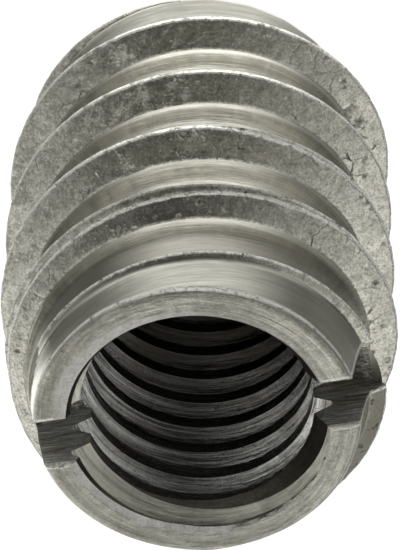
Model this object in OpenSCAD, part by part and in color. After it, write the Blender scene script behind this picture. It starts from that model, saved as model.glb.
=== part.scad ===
// Slotted threaded insert with a coarse outer ridge, standing on its plain end.
// Millimetres, +Z up, origin at the centre of the plain end face.

/* [Body] */
// Length from the plain end face to the slotted end face
body_length = 16; // [12:0.5:24]
// Diameter of the cylinder between the turns of the ridge
root_diameter = 10.15; // [8.2:0.05:14]
// Chamfer around the plain end, at 45 degrees
end_chamfer = 0.38; // [0.2:0.02:0.8]

/* [Nose] */
// Length over which the slotted end tapers
nose_length = 1.75; // [0.8:0.05:2.5]
// How much smaller the taper makes the radius at the slotted end face
nose_drop = 0.305; // [0.1:0.005:0.45]
// Width of the worn rim on the slotted end face
rim_width = 0.25; // [0.05:0.01:0.3]
// Depth of the worn rim on the nose's side
rim_depth = 0.12; // [0.05:0.01:0.25]

/* [Outer ridge] */
// Height of the ridge above the root cylinder
ridge_height = 0.975; // [0.6:0.005:1.3]
// Rise of the ridge in one turn, right-handed
ridge_pitch = 3.12; // [2.5:0.01:4.5]
// Slope of the flank facing the slotted end, axial run for each unit of height
near_flank = 0.414; // [0.2:0.002:0.6]
// Slope of the flank facing the plain end, axial run for each unit of height
far_flank = 1; // [0.6:0.01:1.2]
// Width of the narrow land along the crest
crest_land = 0.06; // [0.02:0.01:0.2]
// Height of the crest at the front of the first whole turn
first_crest = 3.03; // [1.5:0.01:4.5]

/* [Ridge run-out] */
// Depth below the slotted end face where the crest starts to get lower
fade_depth = 3.61; // [2:0.01:5]
// Height over which it gets lower
fade_length = 1.04; // [0.5:0.01:2]
// How much lower it gets there
fade_drop = 0.363; // [0.1:0.001:0.5]
// Degrees around the last turn, from its front, at each place of the run-out
run_out_angles = [-240, -100, -71, 0, 60, 100]; // [-300:1:150]
// How far the near flank has moved towards the far flank at each of those places
run_out_shifts = [0, 0.55, 0.9, 1.15, 1.27, 1.75]; // [0:0.01:2]

/* [Bore] */
// Diameter inside the crests of the M8 x 1.25 inner thread
bore_diameter = 6.9; // [5:0.05:7.4]
// Diameter of the countersink at each end of the bore
countersink_diameter = 7.8; // [7.5:0.05:8.1]
// Angle of the countersinks from the axis
countersink_angle = 30; // [25:1:60]

/* [Slot] */
// Width of the driver slot across the end
slot_width = 1.55; // [1:0.05:2.5]
// Depth of the slot at the axis
slot_depth = 3.28; // [1.8:0.02:4.5]
// Radius of the saw that leaves the curved floor
saw_radius = 11; // [9:0.5:40]
// Turn of the slot from the X axis
slot_turn = 10.8; // [0:0.1:45]

/* [Hidden] */
steel = [0.62, 0.61, 0.57];
fine = 96;
root_radius = root_diameter / 2;
crest_radius = root_radius + ridge_height;
rim_radius = root_radius - nose_drop * (nose_length - rim_depth) / nose_length;
bore_radius = bore_diameter / 2;
countersink_radius = countersink_diameter / 2;
countersink_depth = (countersink_radius - bore_radius) / tan(countersink_angle);
// How far cuts run past the faces they open, and how deep the ridge sits in the core
past = 1;
sink = 0.35;
// Steps in one turn of the ridge
turn_steps = 40;
// First step and last step, counted from the front of the first whole turn
first_step = floor((-first_crest - ridge_height) / ridge_pitch * turn_steps);
last_front = 4 * turn_steps;
last_step = last_front + ceil(max(run_out_angles) * turn_steps / 360);
run_out_places = [for (i = [0 : len(run_out_angles) - 1]) [run_out_angles[i], run_out_shifts[i]]];

// Height of the sharp crest at a step
function apex_height(s) = first_crest + ridge_pitch * s / turn_steps;

// How far the near flank has moved towards the far flank at a step
function shift(s) = lookup((s - last_front) * 360 / turn_steps, run_out_places);

// How much the crest is cut down at a step
function crest_cut(s) =
    let (share = (apex_height(s) - body_length + fade_depth) / fade_length)
    max(fade_drop * max(0, min(1, share)), shift(s) / (near_flank + far_flank));

// A point at a step, a radius and a height, where step 0 is at the front, -Y
function ring_point(s, r, z) = [r * sin(360 * s / turn_steps), -r * cos(360 * s / turn_steps), z];

// Four corners of the section: far foot, far edge, near edge, near foot
function section(s) =
    let (far_top = apex_height(s) - crest_land / 2)
    let (near_top = apex_height(s) + crest_land / 2 - shift(s))
    let (land_cut = crest_cut(s), foot_cut = ridge_height + sink)
    [
        ring_point(s, crest_radius - foot_cut, far_top - foot_cut * far_flank),
        ring_point(s, crest_radius - land_cut, far_top - land_cut * far_flank),
        ring_point(s, crest_radius - land_cut, near_top + land_cut * near_flank),
        ring_point(s, crest_radius - foot_cut, near_top + foot_cut * near_flank)
    ];

// Helical ridge as a closed band of sections
module ridge() {
    steps = last_step - first_step;
    points = [for (s = [first_step : last_step]) each section(s)];
    sides = [for (i = [0 : steps - 1], c = [0 : 3])
        let (a = 4 * i + c, b = 4 * i + (c + 1) % 4)
        each [[a, b, a + 4], [b, b + 4, a + 4]]];
    start_cap = [[0, 2, 1], [0, 3, 2]];
    last = 4 * steps;
    end_cap = [[last, last + 1, last + 2], [last, last + 2, last + 3]];
    polyhedron(points, concat(start_cap, sides, end_cap), convexity = 10);
}

// Blank that the ridge is cut from: a bar with the end chamfer
module blank() {
    rotate_extrude($fn = fine)
        polygon([
            [0, 0],
            [root_radius - end_chamfer, 0],
            [crest_radius + past, end_chamfer + ridge_height + past],
            [crest_radius + past, body_length],
            [0, body_length]
        ]);
}

// Plain turned core with its end chamfer, tapered nose and worn rim
module core() {
    rotate_extrude($fn = fine)
        polygon([
            [0, 0],
            [root_radius - end_chamfer, 0],
            [root_radius, end_chamfer],
            [root_radius, body_length - nose_length],
            [rim_radius, body_length - rim_depth],
            [rim_radius - rim_width, body_length],
            [0, body_length]
        ]);
}

// Bore through the body with a countersink at each end
module bore_cut() {
    translate([0, 0, -past])
        cylinder(h = body_length + 2 * past, r = bore_radius, $fn = fine);
    cylinder(h = countersink_depth, r1 = countersink_radius, r2 = bore_radius, $fn = fine);
    translate([0, 0, body_length - countersink_depth])
        cylinder(h = countersink_depth, r1 = bore_radius, r2 = countersink_radius, $fn = fine);
}

// Driver slot right across the end, as a round saw leaves it
module slot_cut() {
    rotate([0, 0, slot_turn])
        translate([0, slot_width / 2, body_length - slot_depth + saw_radius])
            rotate([90, 0, 0])
                cylinder(h = slot_width, r = saw_radius, $fn = fine);
}

module insert_body() {
    color(steel)
        difference() {
            union() {
                core();
                intersection() {
                    ridge();
                    blank();
                }
            }
            bore_cut();
            slot_cut();
        }
}

insert_body();
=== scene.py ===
"""Slotted threaded insert in bare steel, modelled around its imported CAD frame."""

import math
from functools import reduce

import bmesh
import bpy
from bpy.props import FloatProperty, FloatVectorProperty, IntProperty, PointerProperty
from mathutils import Matrix, Vector, noise


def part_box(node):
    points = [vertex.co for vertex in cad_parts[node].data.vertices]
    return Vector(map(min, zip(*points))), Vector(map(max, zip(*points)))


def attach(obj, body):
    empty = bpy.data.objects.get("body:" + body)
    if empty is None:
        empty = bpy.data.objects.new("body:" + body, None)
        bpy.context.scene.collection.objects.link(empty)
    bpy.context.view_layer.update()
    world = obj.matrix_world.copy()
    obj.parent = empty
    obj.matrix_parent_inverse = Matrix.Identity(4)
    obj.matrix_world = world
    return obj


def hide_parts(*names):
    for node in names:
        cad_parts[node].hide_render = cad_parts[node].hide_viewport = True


bl_info = {
    "name": "Threaded insert",
    "version": (1, 0, 0),
    "blender": (4, 5, 0),
    "location": "3D View > Sidebar > Insert",
    "description": "Builds a slotted threaded insert, its steel finishes and a plain studio",
    "category": "Add Mesh",
}

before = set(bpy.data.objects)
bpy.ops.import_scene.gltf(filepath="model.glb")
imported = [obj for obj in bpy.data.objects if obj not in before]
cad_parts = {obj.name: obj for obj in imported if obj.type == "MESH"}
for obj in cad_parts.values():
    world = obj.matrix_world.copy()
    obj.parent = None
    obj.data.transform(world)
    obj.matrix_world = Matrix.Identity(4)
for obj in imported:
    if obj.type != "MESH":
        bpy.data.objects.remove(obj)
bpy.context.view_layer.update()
NODE = "insert_body"
LOW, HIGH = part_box(NODE)
MM = 0.001
LENGTH = HIGH.z - LOW.z
CREST = (HIGH.x - LOW.x) / 2


# ------------ sizes a user would change

def number(name, description, default, **kind):
    """Property that holds a number."""
    return FloatProperty(name=name, description=description, default=default, **kind)


def length(name, description, mm):
    """Property that holds a length, with its default in millimetres."""
    return number(name, description, mm * MM, unit="LENGTH", precision=5)


def arc(name, description, degrees):
    """Property that holds an angle, with its default in degrees."""
    return number(name, description, math.radians(degrees), subtype="ANGLE")


class RidgeSizes(bpy.types.PropertyGroup):
    """Outer ridge, core and nose"""
    root: length("Root radius", "Radius of the core between turns", 5.075)
    pitch: length("Pitch", "Rise of the ridge in one turn", 3.12)
    first: length("First crest", "Crest height at the front of turn 0", 3.03)
    near: number("Near flank", "Axial run of the upper flank per height", 0.414)
    far: number("Far flank", "Axial run of the lower flank per height", 1.0)
    land: length("Crest land", "Width of the land along the crest", 0.09)
    fillet: length("Fillet", "Length of the fillet at the flanks' feet", 0.16)
    sweep: length("Sweep", "Length of the near fillet along the core", 0.8)
    lip: length("Lip", "Width of the bright lip on the near edge", 0.045)
    burr: length("Burr", "Depth of the nicks along the crest", 0.035)
    end_chamfer: length("End chamfer", "Chamfer around the plain end", 0.38)
    nose_length: length("Nose length", "Length of the tapered end", 1.75)
    nose_drop: length("Nose drop", "Loss of radius along the nose", 0.305)
    rim_depth: length("Rim depth", "Depth of the worn rim", 0.12)
    rim_width: length("Rim width", "Width of the worn rim on the face", 0.25)
    steps: IntProperty(name="Steps", description="Steps around one turn", default=360)


class BoreSizes(bpy.types.PropertyGroup):
    """Inner thread and driver slot"""
    minor: length("Minor radius", "Radius inside the thread's crests", 3.45)
    major: length("Major radius", "Radius at the thread's root", 4.0)
    pitch: length("Pitch", "Pitch of the inner thread", 1.25)
    crest_depth: length("Crest depth", "Depth of the first crest at the back of the bore", 0.862)
    root_flat: length("Root flat", "Width of the flat in the root", 0.156)
    sink_radius: length("Countersink radius", "Radius at the end faces", 3.9)
    sink_angle: arc("Countersink angle", "Angle from the axis", 30)
    slot_width: length("Slot width", "Width of the driver slot", 1.55)
    slot_depth: length("Slot depth", "Depth of the slot at the axis", 3.28)
    saw_radius: length("Saw radius", "Radius of the slot's curved floor", 11)
    slot_chamfer: length("Slot chamfer", "Chamfer along the slot's edges", 0.11)
    edge_depth: length("Edge depth", "Depth of the bore edge's chamfer", 0.09)
    edge_chamfer: length("Edge chamfer", "Widest chamfer around the bore's upper edge", 0.32)
    slot_turn: arc("Slot turn", "Turn of the slot from the X axis", 10.8)
    steps: IntProperty(name="Steps", description="Steps around one turn", default=300)


class StageLook(bpy.types.PropertyGroup):
    """Camera, floor and lights"""
    elevation: arc("Elevation", "Height of the camera's line of sight", 54.954)
    roll: arc("Roll", "Turn of the camera about its line of sight", 179.21)
    distance: length("Distance", "Camera to the point it looks at", 122.13)
    aim: FloatVectorProperty(name="Aim", description="Point that the camera looks at",
                             default=(-0.034 * MM, 0.0, 8.383 * MM), subtype="TRANSLATION",
                             precision=5)
    lens: number("Lens", "Focal length on a 36 mm wide sensor", 259.07)
    floor_glow: number("Floor glow", "Light from the floor itself", 0.97)
    side_dim: number("Side dim", "Light lost from the left and right", 0.85, subtype="FACTOR")
    tent_light: number("Tent light", "Light from all round above the floor", 1.0)
    dark_elevation: arc("Dark elevation", "Height of the dark opening", 68)
    floor_colour: FloatVectorProperty(name="Floor", description="Colour of the floor",
                                      default=(0.4, 0.4, 0.39), subtype="COLOR")


# ------------ sums

# Times that a search halves its range, and the least length that a sum divides by
HALVINGS, TINY = 34, 1e-9


def lerp(a, b, share):
    return a + (b - a) * share


def mixed(a, b, share):
    """Point part of the way from one (radius, height) to another."""
    return tuple(lerp(p, q, share) for p, q in zip(a, b))


def between(value, table):
    """Straight-line value of a short table of (place, value) pairs."""
    for (a, low), (b, high) in zip(table, table[1:]):
        if value < b:
            return lerp(low, high, max(0.0, (value - a) / (b - a)))
    return table[-1][1]


def crossing(function, low, high):
    """Place where a rising function passes zero."""
    for _ in range(HALVINGS):
        middle = (low + high) / 2
        if function(middle) > 0:
            high = middle
        else:
            low = middle
    return (low + high) / 2


def radius_of(co):
    return math.hypot(co.x, co.y)


def angle_of(co):
    """Angle round the axis from the front, -Y, and positive towards +X."""
    return math.atan2(co.x, -co.y)


def on_circle(angle, r, z):
    return (r * math.sin(angle), -r * math.cos(angle), z)


# Lengths of coarse and fine nicks, depth of the fine beside the coarse, and rows between seeds
COARSE_NICK, FINE_NICK, FINE_SHARE, SEED_STEP = 0.45 * MM, 0.15 * MM, 0.6, 7.3


def wobble(along, scale, seed):
    """Smooth random value between -1 and 1 at a length along an edge."""
    return noise.noise(Vector((along / scale, seed * SEED_STEP, 0.5)))


def ragged(along, seed):
    """Random value from 0 up, for nicks and burrs along an edge."""
    fine = abs(wobble(along, FINE_NICK, seed + 0.5))
    return abs(wobble(along, COARSE_NICK, seed)) + FINE_SHARE * fine


# Most of the way to the points before and after its corner that a fillet may take
MOST_BEFORE, MOST_AFTER = 0.45, 0.75


def fillet(corner, before, after, size_before, size_after, count):
    """Points of a smooth fillet that leaves its corner by a length on each side."""
    start, end = [mixed(corner, other, min(most, size / max(math.dist(corner, other), TINY)))
                  for other, size, most in ((before, size_before, MOST_BEFORE),
                                            (after, size_after, MOST_AFTER))]
    steps = [k / (count - 1) for k in range(count)]
    return [mixed(mixed(start, corner, t), mixed(corner, end, t), t) for t in steps]


# ------------ shape of the outside

# Fall of the crest's two edges before the run-out, as (turn, share of the crest radius)
FAR_EDGE = ((3.04, 1.0), (3.1, 0.98), (3.22, 0.965), (3.26, 0.95), (3.33, 0.94), (3.5, 0.938))
NEAR_EDGE = ((1.84, 1.0), (1.89, 0.985), (1.95, 0.985), (1.99, 1.0),
             (2.82, 1.0), (2.87, 0.993), (2.92, 0.977), (3.0, 0.967), (3.1, 0.952),
             (3.2, 0.948), (3.26, 0.934), (3.5, 0.932))
# Depth of the rolled seam between the two edges, as (turn, mm)
SEAM = ((1.84, 0.0), (1.9, 0.06), (1.95, 0.06), (1.99, 0.0),
        (2.8, 0.0), (2.92, 0.12), (3.2, 0.14), (3.35, 0.07), (3.5, 0.0))
# Shape of the seam, as (share of the way from the far edge to the lip, share of its depth)
SEAM_SHAPE = ((0.25, 1.0), (0.5, 1.2), (0.75, 1.0))
# Move of the near flank towards the far flank along the run-out, as (turn, mm)
RUN_OUT = ((3.333, 0.0), (3.722, 0.55), (3.803, 0.9), (4.0, 1.15), (4.167, 1.27), (4.278, 1.75))
# How far the crest lies inside the CAD box, and the least height of the ridge above the core
CREST_INSET, LEAST_RIDGE = 0.012 * MM, 0.004 * MM
# How far below and above its apex the ridge is looked for, and where the section below it starts
BELOW_APEX, ABOVE_APEX, ROOT_BELOW_APEX = 1.9 * MM, 1.3 * MM, 1.88 * MM
# Points of a section and of its far and near fillet, and size of the far one beside the near
SECTION_POINTS, FAR_FILLET_POINTS, NEAR_FILLET_POINTS, FAR_FILLET = 26, 4, 8, 0.7
# Least width of the lip, what its nicks add, and the most of the land that it takes
LIP_LEAST, LIP_RAGGED, LIP_MOST = 0.6, 1.6, 0.4
# Seeds of the far edge's, near edge's, peak's and lip's nicks
FAR_SEED, NEAR_SEED, PEAK_SEED, LIP_SEED = 1, 3, 5, 7


class OuterShape:
    """Section of the outside along a half-plane through the axis, at a turn of the ridge."""

    def __init__(self, s):
        self.s = s
        self.crest = CREST - CREST_INSET
        self.nose_start = LENGTH - s.nose_length

    def core(self, z):
        """Radius of the core with its end chamfer and tapered nose."""
        s = self.s
        nose = s.nose_drop * max(0.0, z - self.nose_start) / s.nose_length
        return s.root - nose - max(0.0, s.end_chamfer - z)

    def on_core(self, z):
        return (self.core(z), z)

    def apex(self, turn):
        return self.s.first + self.s.pitch * turn

    def ridge(self, turn):
        """Feet and edges of the ridge at a turn as (radius, height), or None where it has gone."""
        s = self.s
        along = turn * math.tau * self.crest
        apex = self.apex(turn)
        far_top = apex - s.land / 2
        near_top = apex + s.land / 2 - between(turn, RUN_OUT) * MM

        def far(z):
            end_cone = s.root - s.end_chamfer + z
            return min(self.crest - (far_top - z) / s.far, end_cone)

        def near(z):
            return self.crest - (z - near_top) / s.near

        far_cap, near_cap = [
            CREST * between(turn, edge) - CREST_INSET - ragged(along, seed) * s.burr
            for edge, seed in ((FAR_EDGE, FAR_SEED), (NEAR_EDGE, NEAR_SEED))]
        low, high = apex - BELOW_APEX, apex + ABOVE_APEX
        peak = crossing(lambda z: far(z) - near(z), low, high)
        sharp = far(peak)
        peak_r = min(sharp, far_cap, near_cap)
        if sharp < min(far_cap, near_cap):
            peak_r -= ragged(along, PEAK_SEED) * s.burr
        if peak_r < self.core(peak) + LEAST_RIDGE:
            return None
        far_r = peak_r if sharp < far_cap else far_cap
        near_r = peak_r if sharp < near_cap else near_cap
        far_z = crossing(lambda z: far(z) - far_r, low, peak)
        near_z = crossing(lambda z: near_r - near(z), peak, high)
        far_foot = crossing(lambda z: far(z) - self.core(z), low, far_z)
        near_foot = crossing(lambda z: self.core(z) - near(z), near_z, high)
        return {"far_foot": self.on_core(far_foot), "far": (far(far_z), far_z),
                "near": (near(near_z), near_z), "near_foot": self.on_core(near_foot)}

    def section(self, turn):
        """Points (radius, height) of one turn's section, from root middle to root middle."""
        s = self.s
        bottom = self.apex(turn) - ROOT_BELOW_APEX
        top = bottom + s.pitch
        ridge = self.ridge(turn)
        if ridge is None:
            last = SECTION_POINTS - 1
            return [self.on_core(lerp(bottom, top, k / last)) for k in range(SECTION_POINTS)]
        low, high = self.on_core(bottom), self.on_core(top)
        far, near = ridge["far"], ridge["near"]
        size = s.fillet * FAR_FILLET
        foot = fillet(ridge["far_foot"], low, far, size, size, FAR_FILLET_POINTS)
        points = [low, mixed(low, foot[0], 0.5), *foot]
        points += [mixed(foot[-1], far, k / 3) for k in (1, 2)]
        points.append(far)
        wide = s.lip * (LIP_LEAST + LIP_RAGGED * ragged(turn * math.tau * self.crest, LIP_SEED))
        lip = mixed(near, far, min(LIP_MOST, wide / max(math.dist(near, far), TINY)))
        seam = between(turn, SEAM) * MM
        for share, depth in SEAM_SHAPE:
            r, z = mixed(far, lip, share)
            points.append((r - seam * depth, z))
        points += [lip, near]
        foot = fillet(ridge["near_foot"], near, high, s.fillet, s.sweep, NEAR_FILLET_POINTS)
        points += [mixed(near, foot[0], k / 3) for k in (1, 2)]
        points += foot
        points += [mixed(foot[-1], high, k / 2) for k in (1, 2)]
        return points


# ------------ shape of the bore

# Angle of the inner thread's flanks from a level plane
THREAD_FLANK = math.radians(30)


class InnerShape:
    """Radius of the threaded bore, with a countersink at each end."""

    def __init__(self, b):
        self.b = b
        self.slope = math.tan(b.sink_angle)
        self.sink_depth = (b.sink_radius - b.minor) / self.slope
        self.flank = 1 / math.tan(THREAD_FLANK)
        self.rise = (b.major - b.minor) / self.flank
        self.flat = (b.pitch - b.root_flat - 2 * self.rise) / 2

    def crest_height(self, turn):
        """Middle of the crest at a turn, where the first crest at the back is turn 0.5."""
        return LENGTH - self.b.crest_depth + self.b.pitch * (turn - 0.5)

    def sink(self, z):
        return self.b.sink_radius - min(LENGTH - z, z) * self.slope

    def radius(self, crest, z):
        """Radius at a height, where crest is the middle of the turn's crest."""
        b = self.b
        away = abs((z - crest + b.pitch / 2) % b.pitch - b.pitch / 2)
        thread = b.minor + min(max(0.0, away - self.flat) * self.flank, b.major - b.minor)
        return max(thread, self.sink(z))

    def section(self, turn):
        """Points (radius, height) from one crest's lower edge to the next one's."""
        crest = self.crest_height(turn)
        low, high = self.edges(crest)
        middle = (low + high) / 2
        for sink_foot in (LENGTH - self.sink_depth, self.sink_depth):
            if low < sink_foot < high:
                middle = sink_foot
        root_low = crest + self.flat + self.rise
        root_high = root_low + self.b.root_flat
        next_low = self.edges(crest + self.b.pitch)[0]
        heights = [low, middle, high, (high + root_low) / 2, root_low, root_high,
                   (root_high + next_low) / 2, next_low]
        return [(self.radius(crest, z), z) for z in heights]

    def edges(self, crest):
        """Lower and upper edge of the crest, moved to where a countersink cuts the flank."""
        low, high = crest - self.flat, crest + self.flat
        minor, sink, slope, flank = self.b.minor, self.b.sink_radius, self.slope, self.flank
        if crest > LENGTH / 2:
            if self.sink(low) > minor:
                low = (low * flank + LENGTH * slope - sink + minor) / (slope + flank)
            if self.sink(high) > minor:
                high = (sink - minor - LENGTH * slope + high * flank) / (flank - slope)
        else:
            if self.sink(high) > minor:
                high = (high * flank + sink - minor) / (slope + flank)
            if self.sink(low) > minor:
                low = (low * flank - sink + minor) / (flank - slope)
        return low, high


# ------------ modelling steps

# Gaps closed by a merge, left by a level cut, and allowed where a height is looked for
MERGE_GAP, CUT_GAP, LEVEL_GAP = 0.0002 * MM, 0.0001 * MM, 0.001 * MM


def activate(obj, *others):
    """Selects only the objects given, and makes the first one active."""
    bpy.ops.object.select_all(action="DESELECT")
    for each in (obj, *others):
        each.select_set(True)
    bpy.context.view_layer.objects.active = obj


def edit(obj):
    """Goes into edit mode on one object, with all of it selected."""
    activate(obj)
    bpy.ops.object.mode_set(mode="EDIT")
    bpy.ops.mesh.select_mode(type="VERT")
    bpy.ops.mesh.select_all(action="SELECT")


def done():
    bpy.ops.object.mode_set(mode="OBJECT")


def wrapped_band(name, shape, low, high, pitch, steps):
    """Winds a flat grid into a helical skin: its columns are steps, its rows section points."""
    first, last = math.floor(low / pitch * steps) / steps, math.ceil(high / pitch * steps) / steps
    columns = round((last - first) * steps)
    sections = [shape.section(first + i / steps) for i in range(columns + 1)]
    rows = len(sections[0]) - 1
    bpy.ops.object.select_all(action="DESELECT")
    bpy.ops.mesh.primitive_grid_add(x_subdivisions=columns, y_subdivisions=rows, size=1)
    band = bpy.context.object
    band.name = name
    for v in band.data.vertices:
        i, j = round((v.co.x + 0.5) * columns), round((v.co.y + 0.5) * rows)
        v.co = on_circle(math.tau * (first + i / steps), *sections[i][j])
    edit(band)
    bpy.ops.mesh.remove_doubles(threshold=MERGE_GAP)
    return band


def cut_level(height, keep="both"):
    """Cuts the edited skin with a level plane and keeps both sides, or the one named."""
    bpy.ops.mesh.select_all(action="SELECT")
    bpy.ops.mesh.bisect(plane_co=(0, 0, height), plane_no=(0, 0, 1), threshold=CUT_GAP,
                        clear_outer=keep == "below", clear_inner=keep == "above")


def pick_open_loops(obj, *heights):
    """Selects the open edges of the edited skin at the heights given."""
    bpy.ops.mesh.select_mode(type="EDGE")
    bpy.ops.mesh.select_all(action="DESELECT")
    mesh = bmesh.from_edit_mesh(obj.data)
    for e in mesh.edges:
        if e.is_boundary and any(all(abs(v.co.z - height) < LEVEL_GAP for v in e.verts)
                                 for height in heights):
            e.select_set(True)
    bmesh.update_edit_mesh(obj.data)


def extrude_loop(start, end):
    """Extrudes the selected loop from one (radius, height) to the next."""
    (r0, z0), (r1, z1) = start, end
    bpy.ops.mesh.extrude_region_move(TRANSFORM_OT_translate={"value": (0, 0, z1 - z0)})
    bpy.ops.transform.resize(value=(r1 / r0, r1 / r0, 1), center_override=(0, 0, z1))


def subtract(body, tool):
    """Cuts one solid from another and removes the tool."""
    activate(tool)
    bpy.ops.object.transform_apply(location=True, rotation=True, scale=True)
    activate(body)
    cut = body.modifiers.new("cut", "BOOLEAN")
    cut.operation = "DIFFERENCE"
    cut.solver = "EXACT"
    cut.object = tool
    bpy.ops.object.modifier_apply(modifier=cut.name)
    mesh = tool.data
    bpy.data.objects.remove(tool)
    bpy.data.meshes.remove(mesh)


# ------------ the insert body

# How far the wound skins run past the ends: the outside past each of them, and the bore
PAST_PLAIN_END, PAST_SLOTTED_END, PAST_BORE = 1.4 * MM, 1.9 * MM, 1.6 * MM
# Rings of the worn rim, as shares of its width and of its depth below the slotted face
RIM_RINGS = ((0.0, 1.0), (0.2, 0.45), (0.55, 0.12), (1.0, 0.0))
# Width of the chamfer around the bore's upper edge, as (degrees from the front, share)
EDGE_CHAMFER = ((-180, 0.5), (-120, 0.35), (-60, 0.2), (0, 0.25), (40, 0.85), (80, 1.0),
                (110, 0.75), (180, 0.5))
# Least share of that width, and its waves as (share, length, seed)
LEAST_CHAMFER, CHAMFER_WAVES = 0.06, ((0.4, 0.9 * MM, 11), (0.35, 0.3 * MM, 12))
# Length of the prism that chamfers the slot, in crest radii
PRISM_LENGTH = 3


def outer_skin(s):
    """Outside with the ridge, from the plain end to the inner edge of the worn rim."""
    shape = OuterShape(s)
    skin = wrapped_band("outer_skin", shape, -PAST_PLAIN_END - s.first,
                        LENGTH + PAST_SLOTTED_END - s.first, s.pitch, s.steps)
    cut_level(0, keep="above")
    cut_level(LENGTH - s.rim_depth, keep="below")
    cut_level(s.end_chamfer)
    cut_level(LENGTH - s.nose_length)
    rim = shape.core(LENGTH - s.rim_depth)
    rings = [(rim - wide * s.rim_width, LENGTH - deep * s.rim_depth) for wide, deep in RIM_RINGS]
    pick_open_loops(skin, LENGTH - s.rim_depth)
    for start, end in zip(rings, rings[1:]):
        extrude_loop(start, end)
    done()
    return skin


def inner_skin(b):
    """Threaded bore from the plain end to the chamfer of its upper edge."""
    skin = wrapped_band("inner_skin", InnerShape(b), b.crest_depth - LENGTH - PAST_BORE,
                        b.crest_depth + PAST_BORE + b.pitch / 2, b.pitch, b.steps)
    cut_level(0, keep="above")
    cut_level(LENGTH - b.edge_depth, keep="below")
    done()
    return skin


def chamfer_width(angle, b):
    """Uneven width of the chamfer around the bore's upper edge at an angle."""
    along = angle * b.sink_radius
    share = between(math.degrees(angle), EDGE_CHAMFER)
    for size, scale, seed in CHAMFER_WAVES:
        share += size * wobble(along, scale, seed)
    return b.edge_chamfer * max(LEAST_CHAMFER, share)


def close_ends(outer, inner, s, b):
    """Joins the two skins and closes both end faces."""
    activate(outer, inner)
    bpy.ops.object.join()
    edit(outer)
    bpy.ops.mesh.remove_doubles(threshold=MERGE_GAP)
    pick_open_loops(outer, 0)
    bpy.ops.mesh.fill()
    pick_open_loops(outer, LENGTH)
    rim = OuterShape(s).core(LENGTH - s.rim_depth) - s.rim_width
    extrude_loop((rim, LENGTH), (b.sink_radius + b.edge_chamfer, LENGTH))
    mesh = bmesh.from_edit_mesh(outer.data)
    for v in mesh.verts:
        if v.select:
            angle = angle_of(v.co)
            v.co = on_circle(angle, b.sink_radius + chamfer_width(angle, b), v.co.z)
    bmesh.update_edit_mesh(outer.data)
    pick_open_loops(outer, LENGTH - b.edge_depth, LENGTH)
    bpy.ops.mesh.bridge_edge_loops()
    bpy.ops.mesh.select_all(action="SELECT")
    bpy.ops.mesh.normals_make_consistent(inside=False)
    done()
    return outer


def cut_slot(body, b):
    """Saws the driver slot and chamfers its upper edges."""
    bpy.ops.object.select_all(action="DESELECT")
    bpy.ops.mesh.primitive_cylinder_add(vertices=360, radius=b.saw_radius, depth=b.slot_width,
                                        location=(0, 0, LENGTH - b.slot_depth + b.saw_radius),
                                        rotation=(math.pi / 2, 0, b.slot_turn))
    subtract(body, bpy.context.object)
    side = (b.slot_width / 2 + b.slot_chamfer) * math.sqrt(2)
    bpy.ops.object.select_all(action="DESELECT")
    bpy.ops.mesh.primitive_cube_add(size=1, location=(0, 0, LENGTH))
    prism = bpy.context.object
    prism.scale = (PRISM_LENGTH * CREST, side, side)
    prism.rotation_euler = (math.pi / 4, 0, 0)
    bpy.ops.object.transform_apply(location=False, rotation=True, scale=True)
    prism.rotation_euler = (0, 0, b.slot_turn)
    subtract(body, prism)


# ------------ values on the vertices

# Height over the core of the ridge's finish, reach of the core's stain and painted shade and of
# the bore's painted shade, and share of the rim's depth that has the end face's stain
RIDGE_RISE, CORE_REACH, BORE_REACH, FACE_REACH = 0.07 * MM, 0.1 * MM, 0.01 * MM, 0.2
# Stain and painted shade as (degrees from the front, share): end face stain, nose stain with
# painted shade at its sides, painted shade at the sides between turns and on the upper ridge
FACE_STAIN = ((-180, 0.5), (-140, 0.3), (-100, 0.05), (-40, 0.0), (-20, 0.25), (20, 0.25),
              (100, 0.45), (150, 0.3), (180, 0.5))
NOSE_STAIN_AND_SHADE = ((-180, 0.1), (-85, 0.35), (-68, 0.95), (-38, 0.95), (-18, 0.48), (0, 0.36),
              (20, 0.3), (38, 0.62), (60, 0.7), (74, 0.0), (180, 0.1))
ROOT_SHADE = ((-180, 0.1), (-82, 0.05), (-62, 0.45), (-38, 0.4), (-20, 0.0), (18, 0.0),
              (38, 0.55), (66, 0.62), (85, 0.3), (180, 0.1))
FACET_SHADE, FACET_DEPTH = ((-160, 0.0), (-130, 1.0), (-90, 1.0), (-75, 0.0)), 2.6 * MM
# Painted shade between the last two turns, dark across the front, as (degrees to either side of
# the front, share)
LAST_ROOT_SHADE = ((0, 1.0), (100, 1.0), (165, 0.1))
# Last whole turn, height of its near foot over its crest, and the painted shade's blur at that foot
LAST_TURN, NEAR_FOOT, FOOT_BLUR = 3, 0.72 * MM, 0.25 * MM
# How far the nose's own stain and painted shade starts below the height one pitch above that foot
NOSE_GAP = 1.62 * MM
# Painted shade on the upper part of each root, by the next ridge: where it starts above the crest,
# its blur and its share
UPPER_ROOT, UPPER_BLUR, UPPER_SHADE = 0.85 * MM, 0.35 * MM, 0.42
# Painted shade inside the bore, darker deeper down, as (mm above the plain end, share)
BORE_SHADE = ((0.0, 1.0), (7.0, 0.92), (8.5, 0.72), (10.0, 0.46), (13.0, 0.12), (16.0, 0.1))
# Painted shade added at the bore's front and back, below a depth
BORE_SIDES, BORE_SIDES_DEPTH = 0.25, 2 * MM
# Darker patches near the bore's upper end, as (depth, first degree, last degree, share)
BORE_PATCHES = ((1.6 * MM, -150, 0, 0.3), (3.4 * MM, -135, -60, 0.45))
# Waves of the stain and painted shade: least share, size, degrees and seed
STAIN_SHADE_LEAST, STAIN_SHADE_WAVE, STAIN_SHADE_DEGREES, STAIN_SHADE_SEED = 0.9, 0.3, 25.0, 21
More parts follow.
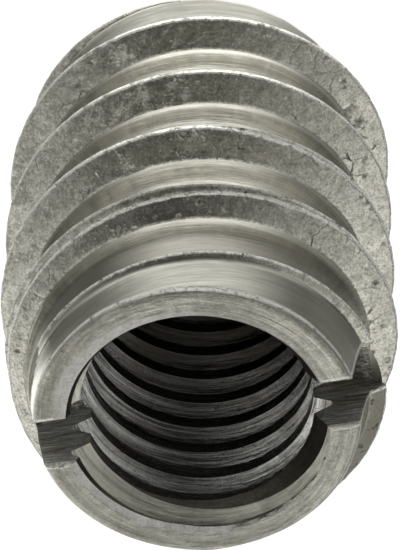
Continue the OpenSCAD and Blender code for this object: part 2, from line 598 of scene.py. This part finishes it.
# Where the ridge is rubbed bright, as (degrees from the front, share) and (mm up, share)
RUB_AROUND = ((-180, 0.1), (-120, 0.3), (-90, 0.1), (0, 0.0), (20, 0.55), (40, 1.0), (85, 0.9),
              (115, 0.2), (180, 0.1))
RUB_UP = ((0.0, 1.0), (6.5, 1.0), (10.0, 0.35), (16.0, 0.1))
# Distance in mm stored off the ridge, and how much nearer the land counts as
NO_CREST, LAND_GAP = 1.0, 0.04


def store(body, name, function):
    """Keeps one number for each vertex, worked out from its place, for the finishes to read."""
    values = [function(v.co) for v in body.data.vertices]
    body.data.attributes.new(name, "FLOAT", "POINT").data.foreach_set("value", values)


def bore_shade(z, angle):
    """Share of painted shade in the bore, which gets dark with its depth."""
    share = between(z / MM, BORE_SHADE)
    if z < LENGTH - BORE_SIDES_DEPTH:
        share += BORE_SIDES * (1 - share) * abs(math.cos(math.radians(angle)))
    for depth, first, last, patch in BORE_PATCHES:
        if z > LENGTH - depth and first < angle < last:
            share = patch
    return share


def core_stain_and_shade(z, angle, s):
    """Share of stain and painted shade on the nose and between the turns of the ridge."""
    foot = s.first + s.pitch * (LAST_TURN + angle / 360) + NEAR_FOOT
    if z > foot + s.pitch - NOSE_GAP:
        return between(angle, NOSE_STAIN_AND_SHADE)
    if z > foot:
        reach = min(1.0, (z - foot) / FOOT_BLUR) * between(abs(angle), LAST_ROOT_SHADE)
        return max(reach, between(angle, NOSE_STAIN_AND_SHADE))
    share = between(angle, ROOT_SHADE)
    turns = (z - s.first) / s.pitch - angle / 360
    if turns > 0:
        above = (turns % 1 * s.pitch - UPPER_ROOT) / UPPER_BLUR
        share = max(share, UPPER_SHADE * min(1.0, max(0.0, above)))
    return share


def stain_and_shade_at(co, s, b):
    """Share of stain and painted shade at a place: end face, bore, ridge near the slotted end, or
    core.
    """
    z, r, angle = co.z, radius_of(co), math.degrees(angle_of(co))
    share = 0.0
    if z > LENGTH - FACE_REACH * s.rim_depth:
        share = between(angle, FACE_STAIN)
    elif r < b.major + BORE_REACH:
        share = bore_shade(z, angle)
    elif z > LENGTH - FACET_DEPTH and r > s.root + RIDGE_RISE:
        share = between(angle, FACET_SHADE)
    elif r < s.root + CORE_REACH:
        share = core_stain_and_shade(z, angle, s)
    return share * (STAIN_SHADE_LEAST + STAIN_SHADE_WAVE * wobble(angle, STAIN_SHADE_DEGREES, STAIN_SHADE_SEED))


def rub_at(co):
    """Share of rubbing at a place."""
    return between(math.degrees(angle_of(co)), RUB_AROUND) * between(co.z / MM, RUB_UP)


def crest_gap_at(co, shape, ridges):
    """Distance in mm from the ridge's two crest edges; ridges keeps what is worked out."""
    s, r = shape.s, radius_of(co)
    if r <= s.root:
        return NO_CREST
    share = angle_of(co) / math.tau
    step = round((share + round((co.z - s.first) / s.pitch - share)) * s.steps)
    if step not in ridges:
        ridges[step] = shape.ridge(step / s.steps)
    if not ridges[step]:
        return NO_CREST
    far, near = ridges[step]["far"], ridges[step]["near"]
    gap = min(math.dist((r, co.z), far), math.dist((r, co.z), near)) / MM
    return max(0.0, gap - LAND_GAP) if far[1] < co.z < near[1] else gap


# ------------ finishes

class Nodes:
    """Adds and joins the nodes of one material or world."""

    def __init__(self, owner, shader="Principled BSDF"):
        owner.use_nodes = True
        self.owner, self.tree = owner, owner.node_tree
        self.shader = self.tree.nodes[shader]

    def put(self, socket, value):
        if isinstance(value, bpy.types.NodeSocket):
            self.tree.links.new(value, socket)
        else:
            socket.default_value = value

    def add(self, kind, inputs=(), **settings):
        node = self.tree.nodes.new("ShaderNode" + kind)
        for key, value in settings.items():
            setattr(node, key, value)
        for key, value in dict(inputs).items():
            self.put(node.inputs[key], value)
        return node

    def maths(self, operation, a, b=0.0):
        return self.add("Math", {0: a, 1: b}, operation=operation).outputs[0]

    def plus(self, *values):
        return reduce(lambda a, b: self.maths("ADD", a, b), values)

    def minus(self, a, b):
        return self.maths("SUBTRACT", a, b)

    def times(self, *values):
        return reduce(lambda a, b: self.maths("MULTIPLY", a, b), values)

    def blend(self, a, b, share):
        """Sum that takes its share from b and the rest from a."""
        return self.plus(self.times(a, 1.0 - share), self.times(b, share))

    def vector(self, operation, *values, output=0):
        """Vector sum of one or two vectors."""
        return self.add("VectorMath", enumerate(values), operation=operation).outputs[output]

    def ranged(self, value, low, high, start=0.0, end=1.0, fall="LINEAR"):
        """Value that goes from start to end while another goes from low to high."""
        inputs = {"Value": value, "From Min": low, "From Max": high, "To Min": start, "To Max": end}
        return self.add("MapRange", inputs, interpolation_type=fall).outputs["Result"]

    def near(self, value, gap, fall="SMOOTHSTEP"):
        """1 where a value is 0, falling to 0 at a gap from it."""
        return self.ranged(value, 0.0, gap, 1.0, 0.0, fall)

    def noise(self, vector, scale, detail, roughness):
        return self.add("TexNoise", {"Vector": vector, "Scale": scale, "Detail": detail,
                                     "Roughness": roughness}).outputs["Fac"]

    def patches(self, vector, scale, detail, roughness, low, high):
        """Random patches: 1 where a noise is over high, falling to 0 where it is under low."""
        return self.ranged(self.noise(vector, scale, detail, roughness), low, high)

    def ramp(self, value, stops):
        """Colour that runs through a list of (place, colour) stops."""
        node = self.add("ValToRGB", {"Fac": value})
        elements = node.color_ramp.elements
        while len(elements) < len(stops):
            elements.new(0.5)
        for element, (place, colour) in zip(elements, stops):
            element.position, element.color = place, (*colour, 1.0)
        return node.outputs["Color"]

    def grey_ramp(self, value, table, span=1.0):
        """Ramp through a table of (place, level) pairs, where span is the place of the value 1."""
        return self.ramp(value, [(place / span, (level,) * 3) for place, level in table])

    def mix(self, share, a, b):
        return self.add("Mix", {"Factor": share, 6: a, 7: b}, data_type="RGBA").outputs[2]

    def mapped(self, vector, **inputs):
        return self.add("Mapping", {"Vector": vector, **inputs}).outputs[0]

    def millimetres(self):
        """Object coordinates in millimetres."""
        return self.mapped(self.add("TexCoord").outputs["Object"], Scale=(1 / MM, 1 / MM, 1 / MM))

    def split(self, vector):
        """X, Y and Z of a vector."""
        return self.add("SeparateXYZ", {0: vector}).outputs

    def joined(self, x, y, z):
        return self.add("CombineXYZ", {"X": x, "Y": y, "Z": z}).outputs[0]

    def radius(self, x, y):
        return self.vector("LENGTH", self.joined(x, y, 0.0), output="Value")

    def attribute(self, name):
        return self.add("Attribute", attribute_name=name).outputs["Fac"]

    def away(self, a, b):
        """Distance between two values."""
        return self.maths("ABSOLUTE", self.minus(a, b))

    def lathe(self, mm, pitch, around):
        """Coordinates for marks round the axis or along a thread: radius, height, slow change."""
        x, y, z = self.split(mm)
        height = z
        if pitch:
            turn = self.maths("DIVIDE", self.maths("ARCTAN2", x, self.times(y, -1.0)), math.tau)
            height = self.minus(z, self.times(turn, pitch / MM))
            height = self.maths("FLOORED_MODULO", height, pitch / MM)
        slow = self.plus(self.times(x, around), self.times(y, around * SLOW_Y),
                         self.times(z, SLOW_Z))
        return self.joined(self.radius(x, y), height, slow)


# How fast marks change along Y beside X, and along the axis for each mm
SLOW_Y, SLOW_Z = 0.8, 0.35
# Stretch of the saw's marks along, across and up the slot
SAW_STRETCH = (0.1, 0.5, 1.0)
# Noises of every finish, as (scale, detail, roughness): two along the cut and two all over
LINES, BROAD = (11.0, 3.0, 0.7), (3.0, 2.0, 0.6)
SPOTS, FINE = (3.2, 6.0, 0.72), (13.0, 3.0, 0.7)
# Part that the second noise of each pair has in the tone, and noise values that the tone spans
BROAD_PART, FINE_PART, TONE_SPAN = 0.4, 0.5, (0.38, 0.62)
# Depth of the broad marks beside the fine ones, and how far the roughness varies
BROAD_MARKS, ROUGH_SPREAD = 1.6, 0.16
# Colour of the stain and the painted shade beside the tone
BROWN = (1.0, 0.98, 0.92)
# Patches, as (scale, detail, roughness, noise where they start, noise where they are full)
CLOUDS = (0.55, 3.0, 0.55, 0.50, 0.72)
DOTS = (9.0, 3.0, 0.75, 0.64, 0.72)
PIT_FIELD = (0.7, 2.0, 0.6, 0.42, 0.52)
CRACK_FIELD = (0.45, 2.0, 0.6, 0.54, 0.62)
WEAR_AND_HIGHLIGHT = (4.0, 3.0, 0.7, 0.32, 0.46)
# Unevenness where nothing rubs and what rubbing adds, and how much rubbing adds to the scuffs
RUB_LEAST, RUB_ADDS, RUB_SCUFFS = 0.6, 0.5, 0.16
# Scuffs: their noise and its span, the span of the spots in them, their grain and their share
SCUFFS, SCUFF_SPAN, SCUFF_SPOTS = (0.9, 4.0, 0.6), (0.64, 0.72), (0.46, 0.58)
CRUSH, SCUFF_SHARE = (9.0, 4.0, 0.8), 0.75
# Bend of the pits' and cracks' places, the noise that bends them, and their stretch
BEND, BEND_NOISE, STRETCH = 0.25, {"Scale": 2.2, "Detail": 3.0}, (1.9, 1.9, 1.0)
# Pits and cracks: scale of their cells, their size, and the span of the noise that breaks them
PIT_CELLS, PIT_SIZE, PIT_SPAN = 1.15, 0.22, (0.42, 0.52)
CRACK_CELLS, CRACK_SIZE, CRACK_SPAN, CRACK_SHARE = 0.8, 0.035, (0.46, 0.54), 0.8
# Heights and depths in mm of specks, pits, worn edges and the grain on worn edges
SPECK_HEIGHT, PIT_DEPTH, WORN_DEPTH, WORN_GRAIN = 0.03, 0.05, 0.055, 0.04
# Colours of scuffs, specks, pits, and worn edges made near white as a painted highlight
SCUFF_COLOUR, SPECK_COLOUR = (0.86, 0.85, 0.78, 1), (0.9, 0.89, 0.83, 1)
PIT_COLOUR, WORN_HIGHLIGHT_COLOUR = (0.055, 0.05, 0.04, 1), (1.0, 1.0, 0.95, 1)
# Widths in mm of the worn rim, slot edges and crest with their painted highlight, and depths in mm
# where the slot's worn highlight ends
RIM_WORN_HIGHLIGHT, SLOT_WORN_HIGHLIGHT, CREST_WORN_HIGHLIGHT, SLOT_HIGHLIGHT_DEPTHS = 0.13, 0.10, 0.07, (2.5, 2.2)


def scuffed(n, mm, spots, height, colour, size):
    """Scuffed patches with a crushed surface, more of them where the ridge is rubbed bright."""
    field = n.plus(n.noise(mm, *SCUFFS), n.times(n.attribute("rub"), RUB_SCUFFS))
    scuff = n.times(n.ranged(field, *SCUFF_SPAN), n.ranged(spots, *SCUFF_SPOTS))
    height = n.plus(height, n.times(scuff, n.noise(mm, *CRUSH), size))
    return height, n.mix(n.times(scuff, SCUFF_SHARE), colour, SCUFF_COLOUR)


def specked(n, mm, height, colour, share):
    """Small bright specks that stand a little proud."""
    dots = n.patches(mm, *DOTS)
    height = n.plus(height, n.times(dots, SPECK_HEIGHT))
    return height, n.mix(n.times(dots, share), colour, SPECK_COLOUR)


def pitted(n, mm, spots, fine, height, colour):
    """Dark pits and short cracks."""
    wave = n.add("TexNoise", {"Vector": mm, **BEND_NOISE}).outputs["Color"]
    bent = n.add("Mix", {"Factor": BEND, 4: mm, 5: wave}, data_type="VECTOR").outputs[1]
    place = n.mapped(bent, Scale=STRETCH)
    cells = n.add("TexVoronoi", {"Vector": place, "Scale": PIT_CELLS})
    pit = n.times(n.near(cells.outputs["Distance"], PIT_SIZE), n.ranged(fine, *PIT_SPAN),
                  n.patches(mm, *PIT_FIELD))
    walls = n.add("TexVoronoi", {"Vector": place, "Scale": CRACK_CELLS},
                  feature="DISTANCE_TO_EDGE")
    crack = n.times(n.near(walls.outputs["Distance"], CRACK_SIZE), n.ranged(spots, *CRACK_SPAN),
                    n.patches(mm, *CRACK_FIELD))
    hole = n.maths("MAXIMUM", pit, n.times(crack, CRACK_SHARE))
    return n.minus(height, n.times(hole, PIT_DEPTH)), n.mix(hole, colour, PIT_COLOUR)


def worn_highlit(n, mm, fine, height, colour, edge):
    """Edges worn bright, made near white as a painted highlight, and a little lower, with a fine
    grain.
    """
    share = n.times(edge, n.patches(mm, *WEAR_AND_HIGHLIGHT))
    height = n.minus(height, n.times(share, WORN_DEPTH))
    height = n.plus(height, n.times(edge, fine, WORN_GRAIN))
    # Painted highlight: worn edges turn near white
    return height, n.mix(share, colour, WORN_HIGHLIGHT_COLOUR)


def worn_highlit_edges(s, b, crest=False):
    """Mask of worn edges with a painted highlight: nose rim, slot's upper edges, ridge's crest."""
    def mask(n, mm):
        x, y, z = n.split(mm)
        rim = OuterShape(s).core(LENGTH - s.rim_depth) / MM
        gap = n.plus(n.away(n.radius(x, y), rim), n.away(z, (LENGTH - s.rim_depth) / MM))
        edge = n.near(gap, RIM_WORN_HIGHLIGHT, "LINEAR")
        across = n.minus(n.times(y, math.cos(b.slot_turn)), n.times(x, math.sin(b.slot_turn)))
        side = n.away(n.maths("ABSOLUTE", across), (b.slot_width / 2 + b.slot_chamfer) / MM)
        up = n.ranged(z, *(LENGTH / MM - depth for depth in SLOT_HIGHLIGHT_DEPTHS))
        edge = n.maths("MAXIMUM", edge, n.times(n.near(side, SLOT_WORN_HIGHLIGHT), up))
        if crest:
            highlit_crest = n.near(n.attribute("crest_gap"), CREST_WORN_HIGHLIGHT, "LINEAR")
            edge = n.maths("MAXIMUM", edge, highlit_crest)
        return edge
    return mask


def steel(name, tone, rough, pitch=None, *, marks, mottle, grain, lines_share, contrast, stain_and_shade,
          around=0.12, specks=0.0, pits=False, scuffs=0.0, worn=None, sawn=None, depth=0.34):
    """Bare steel with marks along the cut, mottling, stain and painted shade, specks, pits, scuffs
    and worn edges with a painted highlight.
    """
    n = Nodes(bpy.data.materials.new(name))
    mm = n.millimetres()
    if sawn is None:
        place = n.lathe(mm, pitch, around)
    else:
        place = n.mapped(n.mapped(mm, Rotation=(0, 0, -sawn)), Scale=SAW_STRETCH)
    lines, broad = n.noise(place, *LINES), n.noise(place, *BROAD)
    spots, fine = n.noise(mm, *SPOTS), n.noise(mm, *FINE)

    light = tuple(min(1.0, c * (1.0 + contrast)) for c in tone)
    dark = tuple(c * (1.0 - contrast) for c in tone)
    brown = (*(c * depth * part for c, part in zip(tone, BROWN)), 1.0)
    streaks, speckle = n.blend(lines, broad, BROAD_PART), n.blend(spots, fine, FINE_PART)
    level = n.ranged(n.blend(speckle, streaks, lines_share), *TONE_SPAN)
    colour = n.ramp(level, ((0.0, dark), (1.0, light)))
    colour = n.mix(n.times(n.patches(mm, *CLOUDS), stain_and_shade), colour, brown)
    # Painted shade, with real stain: the stored share darkens the colour towards brown by place
    colour = n.mix(n.attribute("stain_and_shade"), colour, brown)

    uneven = n.plus(n.times(spots, mottle), n.times(fine, grain))
    if scuffs:
        uneven = n.times(uneven, n.plus(RUB_LEAST, n.times(n.attribute("rub"), RUB_ADDS)))
    height = n.plus(n.times(lines, marks), n.times(broad, marks * BROAD_MARKS), uneven)
    if scuffs:
        height, colour = scuffed(n, mm, spots, height, colour, scuffs)
    if specks:
        height, colour = specked(n, mm, height, colour, specks)
    if pits:
        height, colour = pitted(n, mm, spots, fine, height, colour)
    if worn:
        height, colour = worn_highlit(n, mm, fine, height, colour, worn(n, mm))

    bump = n.add("Bump", {"Height": height, "Distance": MM, "Strength": 1.0})
    n.put(n.shader.inputs["Base Color"], colour)
    n.put(n.shader.inputs["Metallic"], 1.0)
    n.put(n.shader.inputs["Roughness"],
          n.plus(rough - ROUGH_SPREAD / 2, n.times(spots, ROUGH_SPREAD)))
    n.put(n.shader.inputs["Normal"], bump.outputs["Normal"])
    return n.owner


def steel_finishes(s, b):
    """Makes the finishes of the body."""
    edges, crests = worn_highlit_edges(s, b), worn_highlit_edges(s, b, crest=True)
    return [
        steel("turned_root", (0.80, 0.79, 0.705), 0.23, s.pitch, marks=0.005, mottle=0.004,
              grain=0.001, lines_share=0.9, contrast=0.22, stain_and_shade=0.12, around=0.04, worn=edges,
              depth=0.25),
        steel("rolled_ridge", (0.54, 0.53, 0.465), 0.26, s.pitch, marks=0.004, mottle=0.027,
              grain=0.012, lines_share=0.1, contrast=0.5, stain_and_shade=0.35, around=0.5, specks=0.9,
              pits=True, scuffs=0.18, worn=crests),
        steel("faced_end", (0.57, 0.56, 0.49), 0.25, marks=0.035, mottle=0.06, grain=0.008,
              lines_share=0.6, contrast=0.6, stain_and_shade=0.3, around=0.09, specks=0.5, worn=edges),
        steel("tapped_bore", (0.76, 0.74, 0.625), 0.16, b.pitch, marks=0.026, mottle=0.008,
              grain=0.008, lines_share=0.8, contrast=0.75, stain_and_shade=0.2, around=0.07, specks=0.5,
              depth=0.13),
        steel("sawn_slot", (0.62, 0.61, 0.54), 0.30, marks=0.06, mottle=0.02, grain=0.015,
              lines_share=0.75, contrast=0.8, stain_and_shade=0.4, specks=0.7, sawn=b.slot_turn),
        steel("first_flank", (0.64, 0.63, 0.55), 0.40, b.pitch, marks=0.03, mottle=0.03,
              grain=0.012, lines_share=0.75, contrast=0.5, stain_and_shade=0.2),
        # Painted shade: the countersink's near-black finish stands in for its dark reflection
        steel("painted_shade_sink", (0.12, 0.112, 0.09), 0.36, marks=0.01, mottle=0.02, grain=0.01,
              lines_share=0.3, contrast=0.4, stain_and_shade=0.3),
        # Painted highlight: near-white burred chamfer round the bore's upper edge
        steel("burred_highlit_edge", (0.92, 0.895, 0.80), 0.48, marks=0.02, mottle=0.10, grain=0.03,
              lines_share=0.2, contrast=0.4, stain_and_shade=0.2),
    ]


# How near a face counts as on a surface, and height above the core of the open slot floor
FACE_GAP, SLOT_RISE = 0.004 * MM, 0.05 * MM
# Depths below the slotted face where the countersink and the first flank end
SINK_END, FLANK_END = 0.9 * MM, 1.0 * MM
# Upward part of a face's normal on the open slot floor, the bore's edge and the countersink
FLOOR_UP, EDGE_UP, SINK_UP = 0.6, (0.3, 0.995), (0.3, 0.7)


def finish_at(face, s, b, across):
    """Name of a face's finish, by its place; across points straight over the slot."""
    z, r, up = face.center.z, radius_of(face.center), face.normal.z
    side = abs(face.center @ across)
    along = math.sqrt(max(0.0, r * r - side * side))
    floor = LENGTH - b.slot_depth + b.saw_radius - math.sqrt(b.saw_radius ** 2 - along ** 2)
    if z > floor - FACE_GAP and side < b.slot_width / 2 + FACE_GAP:
        return "first_flank" if r > s.root + SLOT_RISE and up > FLOOR_UP else "sawn_slot"
    # Painted highlight on the bore's upper chamfer
    if (r < b.sink_radius + b.edge_chamfer + FACE_GAP and z > LENGTH - b.edge_depth
            and EDGE_UP[0] < up < EDGE_UP[1]):
        return "burred_highlit_edge"
    # Painted shade on the countersink
    if r < b.major and z > LENGTH - SINK_END and SINK_UP[0] < up < SINK_UP[1]:
        return "painted_shade_sink"
    if r < b.major and z > LENGTH - FLANK_END and up > SINK_UP[1]:
        return "first_flank"
    if r < b.major + FACE_GAP and FACE_GAP < z < LENGTH - FACE_GAP:
        return "tapped_bore"
    if z > LENGTH - s.rim_depth or z < FACE_GAP:
        return "faced_end"
    return "rolled_ridge" if r > s.root + RIDGE_RISE else "turned_root"


def paint(body, s, b):
    """Stores the values that the finishes read, and gives each face its finish."""
    shape, ridges = OuterShape(s), {}
    store(body, "crest_gap", lambda co: crest_gap_at(co, shape, ridges))
    # Stain and painted shade: darker at the sides, on the last root, between turns and deep in the
    # bore
    store(body, "stain_and_shade", lambda co: stain_and_shade_at(co, s, b))
    store(body, "rub", rub_at)
    for finish in steel_finishes(s, b):
        body.data.materials.append(finish)
    slots = {finish.name: slot for slot, finish in enumerate(body.data.materials)}
    across = Vector((-math.sin(b.slot_turn), math.cos(b.slot_turn), 0))
    for face in body.data.polygons:
        face.material_index = slots[finish_at(face, s, b, across)]


# ------------ stage

# Light that the floor throws on the insert, as (mm from the axis, share of its peak)
FLOOR_LIGHT = ((6.0, 0.26), (8.0, 1.0), (10.5, 0.97), (12.5, 0.8), (14.5, 0.5), (18.0, 0.58),
               (20.0, 0.56), (24.0, 0.32), (28.0, 0.28), (40.0, 0.28))
FLOOR_SPAN, FLOOR_PEAK = 42.0, 2.2
# Where the floor starts to glow and where it does so fully, in mm from the axis
GLOW_EDGE = (4.4, 5.0)
# Spans of the direction's X where the floor dims, and of Y and X in mm where it brightens again
FLOOR_SIDES, OPEN_Y, OPEN_X = (0.30, 0.80), (2.0, 8.0), (0.0, 3.0)
# Softboxes, as (name, direction from the insert's middle, watts), their distance and their size
SOFTBOXES = (("left_softbox", (0.8, 0.5, 0.42), 0.05),
             ("right_softbox", (-0.8, 0.5, 0.42), 0.03))
SOFTBOX_DISTANCE, SOFTBOX_SIZE = 0.30, 0.16
# Light of the tent by the cosine from the middle of its dark opening, and the opening's shape
TENT = ((0.0, 0.9), (0.2, 0.78), (0.34, 0.64), (0.52, 0.50), (0.74, 0.26), (0.90, 0.09),
        (1.0, 0.05))
OPENING_SHAPE = (1.8, 1, 1)
# Spans of the direction's Z where the horizon's light ends, and of its X where the sides dim
HORIZON, TENT_SIDES = (0.08, 0.38), (0.84, 0.98)


def add_floor(look):
    """Pale floor that looks even from above, and lights the insert less from some sides."""
    bpy.ops.object.select_all(action="DESELECT")
    bpy.ops.mesh.primitive_circle_add(vertices=64, radius=0.9, fill_type="NGON")
    floor = bpy.context.object
    floor.name = "floor"
    n = Nodes(bpy.data.materials.new("pale_floor"))
    for name, value in (("Base Color", (*look.floor_colour, 1)), ("Roughness", 0.9),
                        ("Specular IOR Level", 0.1), ("Emission Color", (1, 1, 0.985, 1))):
        n.put(n.shader.inputs[name], value)
    x, y, _ = n.split(n.millimetres())
    radius = n.radius(x, y)
    glow = n.ranged(radius, *GLOW_EDGE, 0.0, look.floor_glow)
    side = n.maths("ABSOLUTE", n.maths("DIVIDE", x, n.plus(radius, 1.0)))
    open_back = n.times(n.ranged(y, *OPEN_Y), n.ranged(x, *OPEN_X))
    side = n.times(n.ranged(side, *FLOOR_SIDES), n.minus(1.0, open_back))
    rings = n.grey_ramp(n.maths("DIVIDE", radius, FLOOR_SPAN), FLOOR_LIGHT, FLOOR_SPAN)
    thrown = n.times(n.minus(1.0, n.times(side, look.side_dim)), n.times(rings, FLOOR_PEAK))
    seen = n.add("LightPath").outputs["Is Camera Ray"]
    share = n.plus(seen, n.times(thrown, n.minus(1.0, seen)))
    n.put(n.shader.inputs["Emission Strength"], n.times(glow, share))
    floor.data.materials.append(n.owner)


def add_object(name, data):
    obj = bpy.data.objects.new(name, data)
    bpy.context.scene.collection.objects.link(obj)
    return obj


def add_softbox(name, direction, power):
    """Square area light that faces the middle of the insert."""
    light = bpy.data.lights.new(name, "AREA")
    light.shape = "SQUARE"
    light.size = SOFTBOX_SIZE
    light.energy = power
    obj = add_object(name, light)
    out = Vector(direction).normalized()
    obj.location = Vector((0, 0, LENGTH / 2)) + out * SOFTBOX_DISTANCE
    obj.rotation_mode = "QUATERNION"
    obj.rotation_quaternion = out.to_track_quat("Z", "Y")


def add_tent(look):
    """Soft light from all round, with a dark opening overhead and dimmer sides."""
    world = bpy.data.worlds.new("light_tent")
    bpy.context.scene.world = world
    n = Nodes(world, "Background")
    direction = n.add("TexCoord").outputs["Generated"]
    x, _, z = n.split(direction)
    wide = n.vector("NORMALIZE", n.vector("MULTIPLY", direction, OPENING_SHAPE))
    opening = (0, -math.cos(look.dark_elevation), math.sin(look.dark_elevation))
    facing = n.vector("DOT_PRODUCT", wide, opening, output="Value")
    horizon = n.ranged(z, *HORIZON, 1.0, 0.0, "SMOOTHSTEP")
    level = n.maths("MAXIMUM", n.grey_ramp(facing, TENT), horizon)
    side = n.ranged(n.maths("ABSOLUTE", x), *TENT_SIDES, 1.0, 1.0 - look.side_dim, "SMOOTHSTEP")
    n.put(n.shader.inputs["Color"], (1, 1, 0.98, 1))
    n.put(n.shader.inputs["Strength"], n.times(level, side, look.tent_light))


def add_camera(look):
    camera = add_object("camera", bpy.data.cameras.new("camera"))
    camera.data.sensor_width = 36
    camera.data.lens = look.lens
    camera.data.clip_start, camera.data.clip_end = 0.005, 10
    sight = Vector((0, math.cos(look.elevation), -math.sin(look.elevation)))
    level_up = Vector((0, math.sin(look.elevation), math.cos(look.elevation)))
    up = level_up * math.cos(look.roll) + Vector((1, 0, 0)) * math.sin(look.roll)
    turn = Matrix((sight.cross(up), up, -sight)).transposed()
    place = Matrix.Translation(Vector(look.aim) - sight * look.distance)
    camera.matrix_world = place @ turn.to_4x4()
    bpy.context.scene.camera = camera


# ------------ operators and panel

class INSERT_OT_body(bpy.types.Operator):
    """Model the insert body and give it its steel finishes"""
    bl_idname = "insert.body"
    bl_label = "Insert body"

    def execute(self, context):
        s, b = context.scene.insert_ridge, context.scene.insert_bore
        body = close_ends(outer_skin(s), inner_skin(b), s, b)
        body.name = body.data.name = "steel_insert"
        cut_slot(body, b)
        activate(body)
        bpy.ops.object.shade_smooth_by_angle(angle=math.radians(28))
        paint(body, s, b)
        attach(body, "root")
        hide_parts(NODE)
        return {"FINISHED"}


class INSERT_OT_stage(bpy.types.Operator):
    """Add the floor, the soft lights and the camera"""
    bl_idname = "insert.stage"
    bl_label = "Stage"

    def execute(self, context):
        look = context.scene.insert_stage
        add_floor(look)
        for softbox in SOFTBOXES:
            add_softbox(*softbox)
        add_tent(look)
        context.scene.view_settings.view_transform = "Standard"
        add_camera(look)
        return {"FINISHED"}


class INSERT_PT_panel(bpy.types.Panel):
    """Buttons that build the insert and its stage"""
    bl_idname = "INSERT_PT_panel"
    bl_label = "Threaded insert"
    bl_space_type = "VIEW_3D"
    bl_region_type = "UI"
    bl_category = "Insert"

    def draw(self, context):
        for operator in (INSERT_OT_body, INSERT_OT_stage):
            self.layout.operator(operator.bl_idname)


GROUPS = {"insert_ridge": RidgeSizes, "insert_bore": BoreSizes, "insert_stage": StageLook}
CLASSES = (*GROUPS.values(), INSERT_OT_body, INSERT_OT_stage, INSERT_PT_panel)


def register():
    for cls in CLASSES:
        bpy.utils.register_class(cls)
    for name, group in GROUPS.items():
        setattr(bpy.types.Scene, name, PointerProperty(type=group))


def unregister():
    for name in GROUPS:
        delattr(bpy.types.Scene, name)
    for cls in reversed(CLASSES):
        bpy.utils.unregister_class(cls)


def main():
    register()
    bpy.ops.insert.stage()
    bpy.ops.insert.body()


if __name__ == "__main__":
    main()
